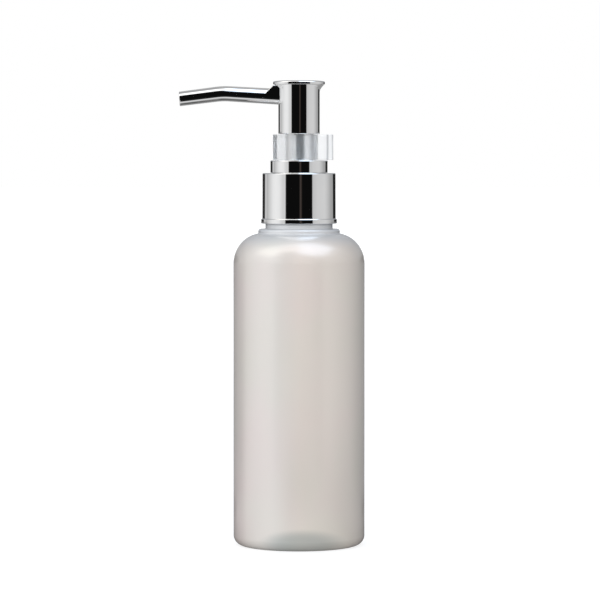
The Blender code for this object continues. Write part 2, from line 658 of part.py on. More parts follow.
def make_head_shell():
    """Chromed head shell: a round tube that flares to an oval top, with a hole for the spigot."""
    profile = [(0.0, FLARE_TOP), (HEAD_RADIUS, FLARE_TOP)]
    profile += arc((HEAD_RADIUS - HEAD_EDGE, HEAD_BOTTOM + HEAD_EDGE), HEAD_EDGE, 0.0, -90.0, 3)
    profile += [(0.0, HEAD_BOTTOM)]
    shell = turned("head_shell", profile, "chrome_plate")
    boolean(shell, flare_tool("flare", 0.0, 0.0), "UNION")
    boolean(shell, flare_tool("flare_hollow", HEAD_WALL, CUT_OVERRUN), "DIFFERENCE")
    bore = HEAD_RADIUS - HEAD_WALL
    top = FLARE_TOP + CUT_OVERRUN
    bottom = HEAD_BOTTOM - CUT_OVERRUN
    tube = turned_tool("shell_bore", [(0.0, top), (bore, top), (bore, bottom), (0.0, bottom)])
    boolean(shell, tube, "DIFFERENCE")
    reach = HEAD_RADIUS + CUT_OVERRUN
    hole = cylinder_tool("shell_hole", SPIGOT_RADIUS + FIT_GAP, -reach, -SPIGOT_DEPTH, NOZZLE_HEIGHT)
    boolean(shell, hole, "DIFFERENCE")


def make_head_core():
    """Moulded core of the head: sleeve and stem sockets, outlet channel and ribs."""
    peg_bore = PEG_RADIUS + FIT_GAP
    peg_floor = CAP_BOTTOM - PEG_LENGTH - FIT_GAP
    channel_top = peg_floor - CHANNEL_ROOF
    block_bottom = FLARE_TOP - CORE_TOP_BLOCK
    waist = SLEEVE_BORE + CORE_WAIST_WALL
    waist_bottom = STEM_SOCKET_BOTTOM + CORE_WAIST_WALL
    profile = [(0.0, peg_floor), (peg_bore, peg_floor), (peg_bore, FLARE_TOP)]
    profile += [(CORE_RADIUS, FLARE_TOP)]
    profile += [(CORE_RADIUS, block_bottom), (waist, block_bottom), (waist, waist_bottom)]
    profile += [(CORE_RADIUS, waist_bottom), (CORE_RADIUS, CORE_BOTTOM), (GUIDE_BORE, CORE_BOTTOM)]
    profile += [(GUIDE_BORE, STEM_SOCKET_BOTTOM), (SLEEVE_BORE, STEM_SOCKET_BOTTOM)]
    profile += [(SLEEVE_BORE, STEM_SOCKET_TOP), (CHANNEL_RADIUS, STEM_SOCKET_TOP)]
    profile += [(CHANNEL_RADIUS, channel_top), (0.0, channel_top)]
    core = turned("head_core", profile, "white_plastic", SMALL_STEPS)
    boolean(core, core_ribs(waist, waist_bottom, block_bottom), "UNION")
    reach = CORE_RADIUS + CUT_OVERRUN
    socket = cylinder_tool("core_socket", SPIGOT_RADIUS + FIT_GAP, -reach, -SPIGOT_DEPTH, NOZZLE_HEIGHT)
    boolean(core, socket, "DIFFERENCE")
    inner_end = SPIGOT_DEPTH + CUT_OVERRUN
    channel = cylinder_tool("core_channel", NOZZLE_BORE, -inner_end, 0.0, NOZZLE_HEIGHT)
    boolean(core, channel, "DIFFERENCE")


def core_ribs(waist, bottom, top):
    """Radial ribs between the core's base and its top block."""
    inner = waist - CORE_WAIST_WALL / 2.0
    outer = CORE_RADIUS - FIT_GAP
    sink = CORE_WAIST_WALL / 2.0
    shape = bmesh.new()
    for i in range(CORE_RIBS):
        made = bmesh.ops.create_cube(shape, size=1.0)["verts"]
        size = (outer - inner, CORE_RIB_THICKNESS, top - bottom + 2.0 * sink)
        bmesh.ops.scale(shape, vec=size, verts=made)
        middle = ((outer + inner) / 2.0, 0.0, (top + bottom) / 2.0)
        bmesh.ops.translate(shape, vec=middle, verts=made)
        turn = 2.0 * pi * (i + 0.5) / CORE_RIBS
        bmesh.ops.rotate(shape, matrix=Matrix.Rotation(turn, 3, "Z"), verts=made)
    mesh = bpy.data.meshes.new("core_ribs")
    shape.to_mesh(mesh)
    shape.free()
    return add_tool("core_ribs", mesh)


def make_head_cap():
    """Crowned oval plate that closes the head, with a rounded rim and a peg in the core."""
    edge = (RIM_RADIUS - RIM_EDGE, RIM_TOP - RIM_EDGE)
    low_edge = (RIM_RADIUS - RIM_EDGE, CAP_BOTTOM + RIM_EDGE)
    middle = (CROWN_FLAT_RADIUS + edge[0]) / 2.0
    sagged = HEAD_TOP - CROWN_HEIGHT * CROWN_SAG_SHARE
    profile = [(0.0, HEAD_TOP), (CROWN_FLAT_RADIUS, HEAD_TOP), (middle, sagged)]
    profile += arc(edge, RIM_EDGE, 90.0, 0.0, 3)
    profile += arc(low_edge, RIM_EDGE, 0.0, -90.0, 3)
    profile += [(0.0, CAP_BOTTOM)]
    top = CAP_BOTTOM + RIM_EDGE
    bottom = CAP_BOTTOM - PEG_LENGTH
    peg = [(0.0, top), (PEG_RADIUS, top), (PEG_RADIUS, bottom), (0.0, bottom)]
    cap = turned("head_cap", peg, "chrome_plate", SMALL_STEPS)
    boolean(cap, oval_tool("cap_plate", profile), "UNION")


def nozzle_route(start, overrun):
    """Centreline of the nozzle: it rises from the head, bends over and falls to the tip."""
    rise = NOZZLE_RISE_ANGLE
    fall = NOZZLE_FALL_ANGLE
    half_length = NOZZLE_BEND_RADIUS * tan((rise + fall) / 2.0)
    apex = (-NOZZLE_BEND_REACH, NOZZLE_HEIGHT + (NOZZLE_BEND_REACH - HEAD_RADIUS) * tan(rise))
    first = (apex[0] + half_length * cos(rise), apex[1] - half_length * sin(rise))
    centre = (first[0] - NOZZLE_BEND_RADIUS * sin(rise), first[1] - NOZZLE_BEND_RADIUS * cos(rise))
    reach = NOZZLE_TIP_REACH + overrun
    route = [(-start, 0.0, apex[1] - (NOZZLE_BEND_REACH - start) * tan(rise))]
    bend_steps = 6
    for i in range(bend_steps + 1):
        angle = pi / 2.0 - rise + (rise + fall) * i / bend_steps
        route.append((centre[0] + NOZZLE_BEND_RADIUS * cos(angle), 0.0,
                      centre[1] + NOZZLE_BEND_RADIUS * sin(angle)))
    route.append((-reach, 0.0, apex[1] - (reach - NOZZLE_BEND_REACH) * tan(fall)))
    return route


def make_nozzle():
    """Chromed outlet tube with a flat-sided gusset, and a spigot that enters the core."""
    start = HEAD_RADIUS - HEAD_WALL
    route = nozzle_route(start, 0.0)
    span = NOZZLE_TIP_REACH - start
    taper = NOZZLE_ROOT_RADIUS - NOZZLE_TIP_RADIUS
    radii = [NOZZLE_ROOT_RADIUS - taper * (-place[0] - start) / span for place in route]
    nozzle = add_object("nozzle", rod_mesh("nozzle", route, radii, TUBE_BEVEL_RESOLUTION), "chrome_plate")
    boolean(nozzle, gusset_tool(), "UNION")
    boolean(nozzle, head_envelope_tool(), "DIFFERENCE")
    boolean(nozzle, flare_tool("flare_envelope", -FIT_GAP, CUT_OVERRUN), "DIFFERENCE")
    spigot_end = SPIGOT_DEPTH + FIT_GAP
    root = HEAD_RADIUS + CUT_OVERRUN
    spigot = cylinder_tool("nozzle_spigot", SPIGOT_RADIUS, -root, -spigot_end, NOZZLE_HEIGHT)
    boolean(nozzle, spigot, "UNION")
    bore_route = nozzle_route(HEAD_RADIUS + CUT_OVERRUN, CUT_OVERRUN)
    bore_route.insert(0, (-SPIGOT_DEPTH + CUT_OVERRUN, 0.0, NOZZLE_HEIGHT))
    bore_radii = [NOZZLE_BORE] * len(bore_route)
    bore = add_tool("nozzle_bore", rod_mesh("nozzle_bore", bore_route, bore_radii, TUBE_BEVEL_RESOLUTION))
    boolean(nozzle, bore, "DIFFERENCE")


def gusset_tool():
    """Flat-sided gusset that rises from the nozzle's root to the flare."""
    bottom = NOZZLE_HEIGHT - GUSSET_OVERLAP
    outline = [(-GUSSET_REACH, bottom), (-GUSSET_REACH, NOZZLE_HEIGHT)]
    outline += [(-GUSSET_TOP_REACH, NOZZLE_HEIGHT + GUSSET_RISE)]
    outline += [(-SPIGOT_DEPTH, NOZZLE_HEIGHT + GUSSET_RISE), (-SPIGOT_DEPTH, bottom)]
    width = 2.0 * (NOZZLE_ROOT_RADIUS + GUSSET_PROUD)
    tool = add_tool("gusset", plate_mesh("gusset", outline, width))
    tool.rotation_euler = (pi / 2.0, 0.0, 0.0)
    return tool


def head_envelope_tool():
    """The head's round outside with the gap that the nozzle keeps to it."""
    side = HEAD_RADIUS + FIT_GAP
    profile = [(0.0, HEAD_TOP), (side, HEAD_TOP), (side, CORE_BOTTOM), (0.0, CORE_BOTTOM)]
    return turned_tool("head_envelope", profile)


def build():
    """Make every piece."""
    make_bottle()
    make_gasket()
    make_screw_collar()
    make_collar_shell()
    make_step_ring()
    make_chaplet()
    make_housing()
    make_dip_tube()
    make_stem()
    make_stem_sleeve()
    make_piston()
    make_piston_retainer()
    make_spring()
    make_ball("inlet_ball", INLET_BALL_RADIUS, INLET_SEAT + INLET_REST)
    make_ball("outlet_ball", OUTLET_BALL_RADIUS, OUTLET_SEAT + OUTLET_REST)
    make_lock_clip()
    make_head_shell()
    make_head_core()
    make_head_cap()
    make_nozzle()
    make_carriers()


clear_scene()
PARTS = make_collection("pump_bottle", True)
TOOLS = make_collection("cutters", False)
STUFF = make_materials()
build()
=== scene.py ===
"""Pump bottle: its visible pieces, their finishes and a plain studio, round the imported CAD."""
from math import asin, atan2, cos, degrees, pi, radians, sin, sqrt, tan

import bmesh
import bpy
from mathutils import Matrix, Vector


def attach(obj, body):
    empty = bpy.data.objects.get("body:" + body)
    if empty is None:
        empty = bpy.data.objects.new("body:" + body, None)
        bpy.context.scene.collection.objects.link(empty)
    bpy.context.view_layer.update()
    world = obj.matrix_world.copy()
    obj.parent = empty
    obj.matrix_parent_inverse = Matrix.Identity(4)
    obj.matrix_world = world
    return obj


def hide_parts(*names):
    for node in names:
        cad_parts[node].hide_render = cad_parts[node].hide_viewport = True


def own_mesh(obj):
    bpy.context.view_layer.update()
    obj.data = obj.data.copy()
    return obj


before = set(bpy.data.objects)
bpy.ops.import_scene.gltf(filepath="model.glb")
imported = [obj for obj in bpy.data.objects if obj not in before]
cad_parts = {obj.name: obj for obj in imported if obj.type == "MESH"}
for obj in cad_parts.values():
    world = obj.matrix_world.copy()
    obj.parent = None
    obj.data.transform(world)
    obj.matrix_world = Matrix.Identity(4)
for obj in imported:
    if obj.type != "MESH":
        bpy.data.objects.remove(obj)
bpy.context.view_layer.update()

MM = 0.001
ROUND = 160             # segments of a lathed piece
OVAL = 0.83             # depth of the head's cap, as a share of its width
ON_AXIS = 1e-5          # a lathed point nearer to the axis than this, in mm, lies on it
CREASE = 32.0           # degrees between faces from which an edge stays sharp
SLAB_CREASE = 28.0

CAMERA_PLACE = (0.00037, -1.21, 0.1496)
CAMERA_TILT = 2.66      # degrees below level
CAMERA_LENS = 191.1
CAMERA_SENSOR = 36.0
LAMP_AIM = Vector((0.0, 0.0, 0.09))

WHITE = (1.0, 1.0, 1.0)


# Shader helpers

class Graph:
    """A small hand for wiring nodes: numbers or sockets go in, a socket comes out."""

    def __init__(self, tree):
        self.tree = tree
        self.tree.nodes.clear()

    def node(self, kind, **settings):
        made = self.tree.nodes.new(kind)
        for key, value in settings.items():
            setattr(made, key, value)
        return made

    def link(self, source, target):
        self.tree.links.new(source, target)

    def put(self, socket, value):
        if isinstance(value, bpy.types.NodeSocket):
            self.link(value, socket)
        elif isinstance(value, (tuple, list)) and len(value) == 3 and socket.type == "RGBA":
            socket.default_value = (*value, 1.0)
        else:
            socket.default_value = value

    def put_all(self, node, values):
        for name, value in values.items():
            self.put(node.inputs[name], value)

    def math(self, operation, *values):
        made = self.node("ShaderNodeMath", operation=operation)
        for socket, value in zip(made.inputs, values):
            self.put(socket, value)
        return made.outputs[0]

    def times(self, first, *others):
        for other in others:
            first = self.math("MULTIPLY", first, other)
        return first

    def step(self, value, low, high, start=0.0, end=1.0):
        """A smooth step from start at low to end at high."""
        made = self.node("ShaderNodeMapRange", interpolation_type="SMOOTHSTEP", clamp=True)
        for socket, number in zip(made.inputs[:5], (value, low, high, start, end)):
            self.put(socket, number)
        return made.outputs[0]

    def mix(self, share, first, second, blend="MIX"):
        made = self.node("ShaderNodeMix", data_type="RGBA", blend_type=blend, clamp_factor=True)
        self.put(made.inputs["Factor"], share)
        self.put(made.inputs[6], first)
        self.put(made.inputs[7], second)
        return made.outputs[2]

    def ramp(self, value, stops):
        made = self.node("ShaderNodeValToRGB")
        line = made.color_ramp
        line.interpolation = "LINEAR"
        while len(line.elements) < len(stops):
            line.elements.new(1.0)
        for element, (place, colour) in zip(line.elements, stops):
            element.position = place
            element.color = (*(colour if isinstance(colour, tuple) else (colour,) * 3), 1.0)
        self.put(made.inputs[0], value)
        return made.outputs[0]

    def clouds(self, height, low, high):
        """A colour or grey between two, by a noise."""
        return self.ramp(height, [(0.3, low), (0.7, high)])

    def grey(self, value):
        """A grey of that brightness."""
        made = self.node("ShaderNodeCombineColor")
        for socket in made.inputs[:3]:
            self.put(socket, value)
        return made.outputs[0]

    def noise(self, vector, scale, detail=2.0, roughness=0.5, distortion=0.0):
        made = self.node("ShaderNodeTexNoise")
        self.put_all(made, {"Vector": vector, "Scale": scale, "Detail": detail,
                            "Roughness": roughness, "Distortion": distortion})
        return made.outputs["Fac"]

    def parts(self, vector):
        made = self.node("ShaderNodeSeparateXYZ")
        self.put(made.inputs[0], vector)
        return made.outputs[:3]

    def rays(self):
        """What kind of ray is asking."""
        return self.node("ShaderNodeLightPath").outputs

    def bump(self, surface, height, strength, distance):
        """Roughens a surface shader by a height, for a relief of that distance in metres."""
        made = self.node("ShaderNodeBump")
        self.put_all(made, {"Height": height, "Strength": strength, "Distance": distance})
        self.link(made.outputs[0], surface.inputs["Normal"])


# Studio

# What the mirror-bright pieces see round the horizon: (degrees from the front, brightness)
HORIZON = (
    (-180, 1.0), (-166, 1.0), (-163, 0.03), (-136, 0.03), (-131, 0.60), (-124, 0.62),
    (-120.5, 0.46), (-108, 0.61), (-98, 0.73), (-89, 0.84), (-77, 0.885), (-65, 0.85),
    (-51, 0.665), (-44, 0.68), (-41.3, 0.004), (1, 0.004), (4, (0.060, 0.048, 0.043)),
    (7, (0.040, 0.031, 0.027)), (10, 0.004), (41.3, 0.004), (43.5, 0.56), (60, 0.64), (87, 0.66),
    (96, 0.60), (106, 0.51), (117, 0.40), (131, 0.36), (134.5, 0.02), (163, 0.015), (166, 1.0),
    (180, 1.0),
)

# What they see on the floor, from their front to their back: (metres towards the back, brightness)
FLOOR_STRIP = (
    (-0.17, 0.01), (-0.148, 0.24), (-0.125, 0.68), (-0.10, 0.74), (-0.077, 0.72), (-0.058, 0.50),
    (-0.039, 0.48), (-0.018, 0.23), (0.0, 0.135), (0.02, 0.125), (0.049, 0.15), (0.076, 0.23),
    (0.106, 0.21), (0.17, 0.31), (0.283, 0.50), (0.45, 0.80),
)
STRIP_START, STRIP_LENGTH = -0.2, 0.7


def horizon(g, east, front):
    """Brightness round the horizon, from the two level parts of a direction."""
    turn = g.math("ARCTAN2", east, front)
    place = g.math("MULTIPLY_ADD", turn, 1.0 / (2.0 * pi), 0.5)
    return g.ramp(place, [(0.5 + degree / 360.0, value) for degree, value in HORIZON])


def box_mask(g, values, limits, soft):
    """1 inside the limits, 0 outside, with a soft border."""
    edges = []
    for value, (low, high) in zip(values, limits):
        edges += [g.step(value, low - soft, low + soft),
                  g.step(value, high - soft, high + soft, 1.0, 0.0)]
    return g.times(*edges)


def make_world():
    world = bpy.data.worlds.new("studio")
    bpy.context.scene.world = world
    world.use_nodes = True
    # Each kind of ray finds its own picture of the studio, so none of it is sampled as a lamp
    world.cycles.sampling_method = "NONE"
    g = Graph(world.node_tree)
    east, north, up = g.parts(g.node("ShaderNodeTexCoord").outputs["Generated"])
    front = g.times(north, -1.0)
    rays = g.rays()
    # What mirrors see. Overhead: a pale panel in front, a greyer one behind
    ceiling = g.ramp(g.step(front, 0.02, 0.16), [(0.0, 0.40), (1.0, 1.40)])
    seen = g.mix(g.step(up, 0.73, 0.77), horizon(g, east, front), ceiling)
    # Above the dark strips behind, the backdrop is pale at the sides and a mid grey in the middle
    pale = g.times(g.step(front, -0.3, -0.5), g.step(up, 0.06, 0.14))
    seen = g.mix(pale, seen, (0.34, 0.35, 0.37))
    narrow = g.step(g.math("ABSOLUTE", g.math("DIVIDE", east, north)), 0.27, 0.24)
    middle = g.times(g.step(front, 0.0, -0.1), narrow, g.step(up, 0.24, 0.30))
    seen = g.mix(middle, seen, (0.47, 0.47, 0.47))
    # Two soft boxes high in front
    right_box = box_mask(g, (east, front, up), ((0.0, 0.70), (0.0, 0.78), (0.52, 1.1)), 0.07)
    left_box = box_mask(g, (east, front, up), ((-0.90, -0.36), (0.0, 0.58), (0.46, 0.80)), 0.10)
    seen = g.mix(right_box, seen, (2.1, 2.45, 2.9))
    seen = g.mix(left_box, seen, (2.2, 2.15, 2.05))
    # Through the clear clip it all looks brighter and cooler, and what lies behind is plain white
    clear_ray = rays["Is Transmission Ray"]
    seen = g.mix(clear_ray, seen, (2.2, 2.2, 2.2), blend="MULTIPLY")
    seen = g.mix(clear_ray, seen, (0.02, 0.055, 0.08), blend="ADD")
    seen = g.mix(g.times(clear_ray, g.step(front, -0.45, -0.75)), seen, WHITE)
    # What lights the matt surfaces besides the lamps: dim in front, bright behind, cooler above
    low = g.mix(g.step(front, -0.2, -0.6), (0.05, 0.05, 0.05), (1.25, 1.27, 1.30))
    soft = g.mix(g.step(up, 0.4, 0.8), low, (0.60, 0.68, 0.80))
    colour = g.mix(g.math("MAXIMUM", rays["Is Glossy Ray"], clear_ray), soft, seen)
    background = g.node("ShaderNodeBackground")
    g.put(background.inputs["Color"], g.mix(rays["Is Camera Ray"], colour, WHITE))
    g.put(background.inputs["Strength"], 1.0)
    g.link(background.outputs[0], g.node("ShaderNodeOutputWorld").inputs["Surface"])


def floor_reflection(g, east, north, far):
    """What the bright pieces see on the floor."""
    front = g.times(north, -1.0)
    # Far off it goes on as the horizon does; behind the object it is grey, for the bottle's sides
    behind = g.times(g.step(g.math("DIVIDE", front, far), -0.30, -0.50), g.step(far, 6.0, 4.0),
                     g.step(far, 0.13, 0.21))
    distant = g.mix(behind, horizon(g, east, front), (0.30, 0.30, 0.30))
    # Nearer, it has strips across it in the middle, and one tone each to the left and right
    strip = g.ramp(g.math("MULTIPLY_ADD", north, 1.0 / STRIP_LENGTH, -STRIP_START / STRIP_LENGTH),
                   [((place - STRIP_START) / STRIP_LENGTH, value) for place, value in FLOOR_STRIP])
    flank = g.mix(g.step(east, -0.02, 0.02), (0.70, 0.70, 0.70), (0.60, 0.60, 0.60))
    flank = g.mix(g.step(north, -0.02, 0.02), flank, distant)
    seen = g.mix(g.step(g.math("ABSOLUTE", east), 0.05, 0.10), strip, flank)
    seen = g.mix(g.step(far, 0.30, 0.36), seen, distant)
    # Painted shadow: close to the foot the floor the bright pieces see is darkened, as the object
    # keeps light off it
    return g.mix(1.0, seen, g.grey(g.step(far, 0.024, 0.060, 0.55, 1.0)), blend="MULTIPLY")


def make_floor():
    """Pale paper: white to the camera but for the shadow on it, and strips of tone to mirrors."""
    reach = 12.0
    mesh = bpy.data.meshes.new("floor")
    signs = ((-1, -1), (1, -1), (1, 1), (-1, 1))
    mesh.from_pydata([(reach * x, reach * y, 0.0) for x, y in signs], [], [(0, 1, 2, 3)])
    floor = bpy.data.objects.new("floor", mesh)
    bpy.context.scene.collection.objects.link(floor)
    floor.location.z = -0.0001
    stuff = bpy.data.materials.new("floor_paper")
    stuff.use_nodes = True
    stuff.cycles.emission_sampling = "NONE"
    g = Graph(stuff.node_tree)
    place = g.node("ShaderNodeNewGeometry").outputs["Position"]
    east, north, _ = g.parts(place)
    far = g.math("SQRT", g.math("MULTIPLY_ADD", east, east, g.times(north, north)))
    rays = g.rays()
    paper = g.node("ShaderNodeBsdfDiffuse")
    g.put(paper.inputs["Color"], g.clouds(g.noise(place, 900.0), 0.37, 0.38))
    # The paper's own glow makes the ground white; matt surfaces get only the part round the foot
    matt_ray = rays["Is Diffuse Ray"]
    shine = g.times(g.math("SUBTRACT", 1.0, matt_ray), g.step(far, 0.25, 1.5, 0.74, 1.0))
    under = g.times(matt_ray, g.step(far, 0.055, 0.025, 0.0, 0.35))
    glow = g.node("ShaderNodeEmission")
    g.put(glow.inputs["Color"], WHITE)
    g.put(glow.inputs["Strength"], g.math("ADD", shine, under))
    ground = g.node("ShaderNodeAddShader")
    g.link(paper.outputs[0], ground.inputs[0])
    g.link(glow.outputs[0], ground.inputs[1])
    pattern = g.node("ShaderNodeEmission")
    g.put(pattern.inputs["Color"], floor_reflection(g, east, north, far))
    # Rays through the clear clip see the pattern in front of it, but the white ground behind it
    clear_ray = rays["Is Transmission Ray"]
    mirror_ray = g.times(rays["Is Glossy Ray"], g.math("SUBTRACT", 1.0, clear_ray))
    choice = g.node("ShaderNodeMixShader")
    in_front = g.step(north, -0.05, -0.15)
    g.put(choice.inputs[0], g.math("MULTIPLY_ADD", clear_ray, in_front, mirror_ray))
    g.link(ground.outputs[0], choice.inputs[1])
    g.link(pattern.outputs[0], choice.inputs[2])
    g.link(choice.outputs[0], g.node("ShaderNodeOutputMaterial").inputs["Surface"])
    mesh.materials.append(stuff)


def make_lamp(name, place, width, height, power, colour):
    """A soft box that lights matt surfaces only; mirrors see the world's bands instead."""
    data = bpy.data.lights.new(name, "AREA")
    data.shape = "RECTANGLE"
    data.size = width
    data.size_y = height
    data.energy = power
    data.color = colour
    lamp = bpy.data.objects.new(name, data)
    bpy.context.scene.collection.objects.link(lamp)
    lamp.location = place
    lamp.rotation_euler = (LAMP_AIM - Vector(place)).to_track_quat("-Z", "Y").to_euler()
    lamp.visible_glossy = False
    lamp.visible_transmission = False
    lamp.visible_camera = False


def make_camera():
    data = bpy.data.cameras.new("camera")
    data.sensor_width = CAMERA_SENSOR
    data.lens = CAMERA_LENS
    data.clip_end = 30.0
    camera = bpy.data.objects.new("camera", data)
    bpy.context.scene.collection.objects.link(camera)
    camera.location = CAMERA_PLACE
    camera.rotation_euler = (radians(90.0 - CAMERA_TILT), 0.0, 0.0)
    bpy.context.scene.camera = camera


# Materials

def start_material(name):
    """A material, its graph, its surface shader and the place in the object that is shaded."""
    stuff = bpy.data.materials.new(name)
    stuff.use_nodes = True
    g = Graph(stuff.node_tree)
    surface = g.node("ShaderNodeBsdfPrincipled")
    g.link(surface.outputs[0], g.node("ShaderNodeOutputMaterial").inputs["Surface"])
    return stuff, g, surface, g.node("ShaderNodeTexCoord").outputs["Object"]


def chrome_material():
    """Bright plating: near-mirror, with a faint wave and faint handling haze."""
    stuff, g, surface, place = start_material("chrome")
    haze = g.noise(place, 420.0, 4.0, 0.6)
    g.put_all(surface, {
        "Base Color": g.clouds(g.noise(place, 160.0, 3.0), (0.90, 0.905, 0.91), (0.93, 0.93, 0.93)),
        "Roughness": g.step(haze, 0.35, 0.75, 0.02, 0.05),
        "Metallic": 1.0,
    })
    g.bump(surface, g.noise(place, 220.0, 1.0), 0.02, 0.0002)
    return stuff


def pearl_material():
    """Pearly plastic: soft sheen under a clear gloss, with pale pink, grey and green clouds."""
    stuff, g, surface, place = start_material("pearl")
    east, _, up = g.parts(place)
    pink, grey, green = (0.688, 0.612, 0.592), (0.676, 0.625, 0.592), (0.660, 0.632, 0.582)
    base = g.ramp(g.noise(place, 28.0, 2.0, 0.5, 0.4), [(0.30, pink), (0.50, grey), (0.70, green)])
    flake = g.noise(place, 5200.0, 2.0, 0.7)
    base = g.mix(g.step(flake, 0.35, 0.75, 0.0, 0.10), base, (0.74, 0.71, 0.68))
    # Painted shade: a greyer oval low on the front and back, standing in for the unlit floor of the
    # bottle seen through the wall: (centre, half size) in m
    (middle, half_width), (height, half_height) = (0.0012, 0.0165), (0.0025, 0.0062)
    across = g.math("MULTIPLY_ADD", east, 1.0 / half_width, -middle / half_width)
    along = g.math("MULTIPLY_ADD", up, 1.0 / half_height, -height / half_height)
    oval = g.math("MULTIPLY_ADD", across, across, g.times(along, along))
    # Painted shade: the oval darkens the base colour there
    base = g.mix(g.step(oval, 1.15, 0.1), base, (0.415, 0.420, 0.408))
    # Painted shade: the lower middle and right are a little darker
    painted_shade_low_right = g.times(g.step(up, 0.062, 0.014), g.step(east, -0.012, -0.002))
    base = g.mix(painted_shade_low_right, base, (0.91, 0.91, 0.91), blend="MULTIPLY")
    # Painted light and shade: the colour is darkened and pinker towards the left edge and warmer
    # over the right half, as the lamps fall on it
    painted_light_tint = g.ramp(g.step(east, -0.025, 0.025), [
        (0.003, (0.97, 0.94, 0.93)), (0.014, (0.95, 0.93, 0.92)), (0.032, (1.0, 1.0, 0.99)),
        (0.077, (0.985, 1.0, 1.0)), (0.24, (0.97, 1.0, 1.0)), (0.52, (1.012, 1.0, 0.967)),
    ])
    base = g.mix(1.0, base, painted_light_tint, blend="MULTIPLY")
    # Painted shade and cool light: from the bead up the colour is a cooler, darker grey
    base = g.mix(g.step(up, 0.113, 0.1205), base, (0.600, 0.612, 0.632))
    g.put_all(surface, {
        "Base Color": base,
        "Roughness": g.step(g.noise(place, 90.0, 3.0), 0.3, 0.7, 0.31, 0.37),
        "Metallic": 0.15,
        "Coat Weight": 1.0,
        "Coat Roughness": 0.2,
        "Coat IOR": 1.5,
    })
    g.bump(surface, g.noise(place, 60.0, 1.0), 0.05, 0.0004)
    return stuff


def clear_material():
    """Clear clip plastic with a faint milkiness."""
    stuff, g, surface, place = start_material("clear")
    milk = g.noise(place, 240.0, 2.0)
    tone = g.clouds(milk, (0.970, 0.975, 0.980), (0.982, 0.984, 0.986))
    # Painted shade: the pull plate's edges are painted darker, as they lose light sideways
    east = g.parts(place)[0]
    painted_shade_inner_edge = g.times(g.step(east, 0.0103, 0.0106), g.step(east, 0.0114, 0.0110))
    edges = g.math("MAXIMUM", painted_shade_inner_edge, g.step(east, 0.0123, 0.0126))
    g.put_all(surface, {
        "Base Color": g.mix(edges, tone, (0.62, 0.63, 0.64)),
        "Roughness": g.step(milk, 0.3, 0.7, 0.32, 0.37),
        "Transmission Weight": 0.93,
        "IOR": 1.49,
    })
    g.bump(surface, g.noise(place, 500.0, 1.0), 0.03, 0.0002)
    return stuff


def plastic_material(name, dark, light, rough, grain):
    """Moulded plastic: a slightly cloudy colour and a fine surface grain."""
    stuff, g, surface, place = start_material(name)
    g.put_all(surface, {
        "Base Color": g.clouds(g.noise(place, 300.0, 3.0), dark, light),
        "Roughness": g.step(g.noise(place, 900.0), 0.3, 0.7, rough - 0.04, rough + 0.04),
    })
    g.bump(surface, g.noise(place, grain, 2.0), 0.12, 0.00005)
    return stuff


def steel_material():
    """Drawn spring wire."""
    stuff, g, surface, place = start_material("spring_wire")
    g.put_all(surface, {
        "Base Color": g.clouds(g.noise(place, 1500.0, 3.0), (0.52, 0.52, 0.53), (0.60, 0.60, 0.60)),
        "Roughness": g.step(g.noise(place, 3000.0), 0.3, 0.7, 0.22, 0.32),
        "Metallic": 1.0,
    })
    g.bump(surface, g.noise(place, 4000.0), 0.1, 0.00002)
    return stuff


# Shape helpers

def arc(centre, radius, start, end, count):
    """Points (r, z) on an arc, in degrees from +r towards +z."""
    angles = [radians(start + (end - start) * i / count) for i in range(count + 1)]
    return [(centre[0] + radius * cos(a), centre[1] + radius * sin(a)) for a in angles]


def soften(corners, steps):
    """Corners (r, z, radius) or plain points (r, z): each corner with a radius becomes an arc."""
    done = []
    for i, corner in enumerate(corners):
        here = Vector(corner[:2])
        radius = corner[2] if len(corner) > 2 else 0.0
        if radius <= 0.0:
            done.append(tuple(here))
            continue
        before = Vector(corners[i - 1][:2]) - here
        after = Vector(corners[(i + 1) % len(corners)][:2]) - here
        half = before.angle(after) / 2.0
        # An arc takes up less than half of either side
        cut = min(radius / tan(half), 0.49 * before.length, 0.49 * after.length)
        radius = cut * tan(half)
        centre = here + (before.normalized() + after.normalized()).normalized() * radius / sin(half)
        first = here + before.normalized() * cut - centre
        last = here + after.normalized() * cut - centre
        turn = first.angle_signed(last)
        for k in range(steps + 1):
            a = -turn * k / steps
            done.append((centre[0] + first[0] * cos(a) - first[1] * sin(a),
                         centre[1] + first[0] * sin(a) + first[1] * cos(a)))
    return done


def band_faces(rings, around, closed=False):
    """Quads between rings of vertices, numbered ring by ring; closed joins the last and first."""
    faces = []
    for i in range(rings if closed else rings - 1):
        low, high = i * around, (i + 1) % rings * around
        for k in range(around):
            m = (k + 1) % around
            faces.append((low + k, low + m, high + m, high + k))
    return faces


def tube_faces(rings, around):
    """The quads of an open band, and a face over each end."""
    first, last = tuple(range(around)), tuple(range((rings - 1) * around, rings * around))
    return band_faces(rings, around) + [first[::-1], last]


def placed(name, mesh, stuff):
    """An object of that mesh, in the scene."""
    mesh.materials.append(stuff)
    piece = bpy.data.objects.new(name, mesh)
    bpy.context.scene.collection.objects.link(piece)
    return piece


def build(name, verts, faces, stuff, normals=None):
    mesh = bpy.data.meshes.new(name)
    mesh.from_pydata(verts, [], faces)
    mesh.polygons.foreach_set("use_smooth", [True] * len(mesh.polygons))
    if normals:
        mesh.normals_split_custom_set(normals)
    return placed(name, mesh, stuff)


